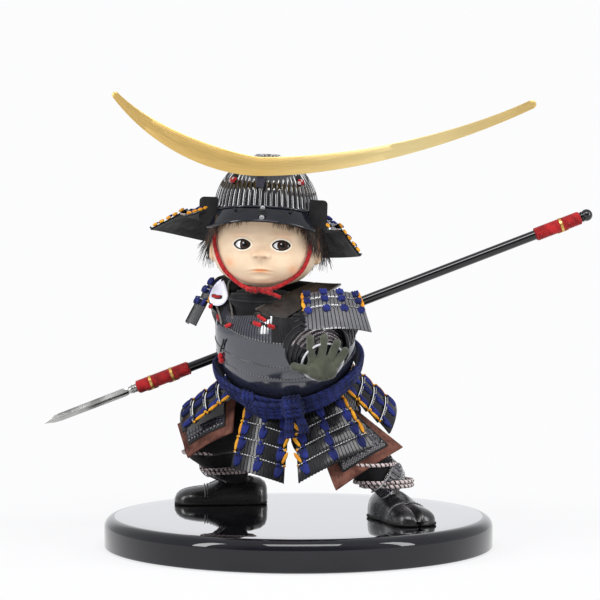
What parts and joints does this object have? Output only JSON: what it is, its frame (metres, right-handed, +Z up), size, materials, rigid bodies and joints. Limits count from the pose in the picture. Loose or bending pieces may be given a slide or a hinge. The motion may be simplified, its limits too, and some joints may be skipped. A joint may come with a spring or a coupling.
{
  "type": "samurai boy doll",
  "caption": "Boy doll in laced black samurai armour, lunging on a round lacquered board, with a wide crescent crest on the helmet and a long spear held behind the back.",
  "frame": {"origin": "centre of the felt on the round board's underside", "axes": "+Z up, -Y towards the front viewer, +X towards the viewer's right, which is the doll's left"},
  "size_m": [0.3958, 0.27, 0.312],
  "materials": {
    "board_lacquer": "black mirror-gloss lacquer",
    "base_felt": "matt felt",
    "armour_lacquer": "black gloss lacquer on stamped plates",
    "spear_lacquer": "black gloss lacquer",
    "black_cloth": "matt black cloth over stuffing",
    "shoe_leather": "black leather with a soft gloss",
    "strap_leather": "dark brown leather",
    "apron_leather": "brown suede border round a black plate pattern",
    "navy_silk": "navy silk cord and cloth",
    "red_cord": "red silk cord",
    "ankle_cord": "black cord braided with pale strands",
    "skin": "satin skin-coloured coat",
    "hair": "dark brown silk hair",
    "eye": "polished, brown iris",
    "glove": "olive felt glove",
    "crest_gold": "brushed gold plate",
    "steel": "bright",
    "peg_wood": "plain turned wood",
    "pale_lacquer": "pale pearly lacquer"
  },
  "bodies": {
    "figure": {"base_board": "board_lacquer", "base_felt": "base_felt", "shoe_right": "shoe_leather", "shoe_screw_right": "steel", "trouser_leg_right": "black_cloth", "leg_rod_right": "steel", "shoe_left": "shoe_leather", "shoe_screw_left": "steel", "trouser_leg_left": "black_cloth", "leg_rod_left": "steel", "torso_core": "black_cloth", "cuirass_waist_lames": "armour_lacquer", "breast_plate": "armour_lacquer", "back_plate": "armour_lacquer", "shoulder_strap_right": "strap_leather", "shoulder_strap_left": "strap_leather", "sash": "navy_silk", "sash_knot": "navy_silk", "throat_cloth": "black_cloth", "neck_peg": "peg_wood", "thigh_apron_right": "apron_leather", "shin_guard_right": "armour_lacquer", "ankle_tie_right": "ankle_cord", "thigh_apron_left": "apron_leather", "shin_guard_left": "armour_lacquer", "ankle_tie_left": "ankle_cord", "sleeve_left": "black_cloth", "sleeve_right": "black_cloth", "arm_wire": "steel", "hand_left": "glove", "hand_right": "glove", "leaf_plate": "pale_lacquer"},
    "head": {"head": "skin", "eye_right": "eye", "eye_left": "eye", "hair": "hair", "chin_cord": "red_cord", "helmet_bowl": "armour_lacquer", "helmet_visor": "armour_lacquer", "neck_guard_upper": "armour_lacquer", "neck_guard_lower": "armour_lacquer", "helmet_finial": "armour_lacquer", "crest_holder": "armour_lacquer"},
    "crest": {"crest": "crest_gold"},
    "spear": {"spear_shaft": "spear_lacquer", "spear_wrap_front": "red_cord", "spear_wrap_rear": "red_cord", "spear_ferrule": "steel", "spear_blade": "steel", "spear_butt": "spear_lacquer"},
    "skirt_panel_front_right": {"skirt_panel_front_right": "armour_lacquer"},
    "skirt_panel_front_left": {"skirt_panel_front_left": "armour_lacquer"},
    "skirt_panel_side_left": {"skirt_panel_side_left": "armour_lacquer"},
    "skirt_panel_back_left": {"skirt_panel_back_left": "armour_lacquer"},
    "skirt_panel_back": {"skirt_panel_back": "armour_lacquer"},
    "skirt_panel_back_right": {"skirt_panel_back_right": "armour_lacquer"},
    "skirt_panel_side_right": {"skirt_panel_side_right": "armour_lacquer"},
    "shoulder_guard_left": {"shoulder_guard_left": "armour_lacquer"},
    "shoulder_guard_right": {"shoulder_guard_right": "armour_lacquer"}
  },
  "joints": [
    {"name": "head_turn", "type": "hinge", "parent": "figure", "child": "head", "pos_m": [-0.024, -0.021, 0.1776], "axis": [0.0349, 0, 0.9994], "range_deg": [-20, 20]},
    {"name": "crest_lift", "type": "slide", "parent": "head", "child": "crest", "axis": [0.0349, 0, 0.9994], "range_m": [0, 0.02]},
    {"name": "spear_slide", "type": "slide", "parent": "figure", "child": "spear", "axis": [0.9336, 0, 0.3584], "range_m": [-0.05, 0.02]},
    {"name": "skirt_panel_front_right_swing", "type": "hinge", "parent": "figure", "child": "skirt_panel_front_right", "pos_m": [-0.0215, -0.02726, 0.09634], "axis": [-0.9033, 0.3613, 0.2314], "range_deg": [0, 20]},
    {"name": "skirt_panel_front_left_swing", "type": "hinge", "parent": "figure", "child": "skirt_panel_front_left", "pos_m": [0.0138, -0.03063, 0.09936], "axis": [-0.8896, -0.2059, -0.4076], "range_deg": [0, 11]},
    {"name": "skirt_panel_side_left_swing", "type": "hinge", "parent": "figure", "child": "skirt_panel_side_left", "pos_m": [0.03564, -0.00976, 0.11928], "axis": [-0.1604, -0.87, -0.4663], "range_deg": [0, 20]},
    {"name": "skirt_panel_back_left_swing", "type": "hinge", "parent": "figure", "child": "skirt_panel_back_left", "pos_m": [0.02569, 0.02047, 0.1305], "axis": [0.6512, -0.7297, -0.2086], "range_deg": [0, 20]},
    {"name": "skirt_panel_back_swing", "type": "hinge", "parent": "figure", "child": "skirt_panel_back", "pos_m": [-0.00736, 0.03687, 0.13275], "axis": [0.9917, -0.0831, 0.0977], "range_deg": [0, 20]},
    {"name": "skirt_panel_back_right_swing", "type": "hinge", "parent": "figure", "child": "skirt_panel_back_right", "pos_m": [-0.03587, 0.02894, 0.12577], "axis": [0.7348, 0.5895, 0.3355], "range_deg": [0, 20]},
    {"name": "skirt_panel_side_right_swing", "type": "hinge", "parent": "figure", "child": "skirt_panel_side_right", "pos_m": [-0.04739, 0.00345, 0.11395], "axis": [-0.0523, 0.92, 0.3885], "range_deg": [0, 20]},
    {"name": "shoulder_guard_left_swing", "type": "hinge", "parent": "figure", "child": "shoulder_guard_left", "pos_m": [0.022, -0.041, 0.178], "axis": [-0.9781, -0.2079, 0], "range_deg": [0, 20]},
    {"name": "shoulder_guard_right_swing", "type": "hinge", "parent": "figure", "child": "shoulder_guard_right", "pos_m": [-0.0596, 0.005, 0.1845], "axis": [-0.1736, 0.9848, 0], "range_deg": [0, 20]}
  ]
}
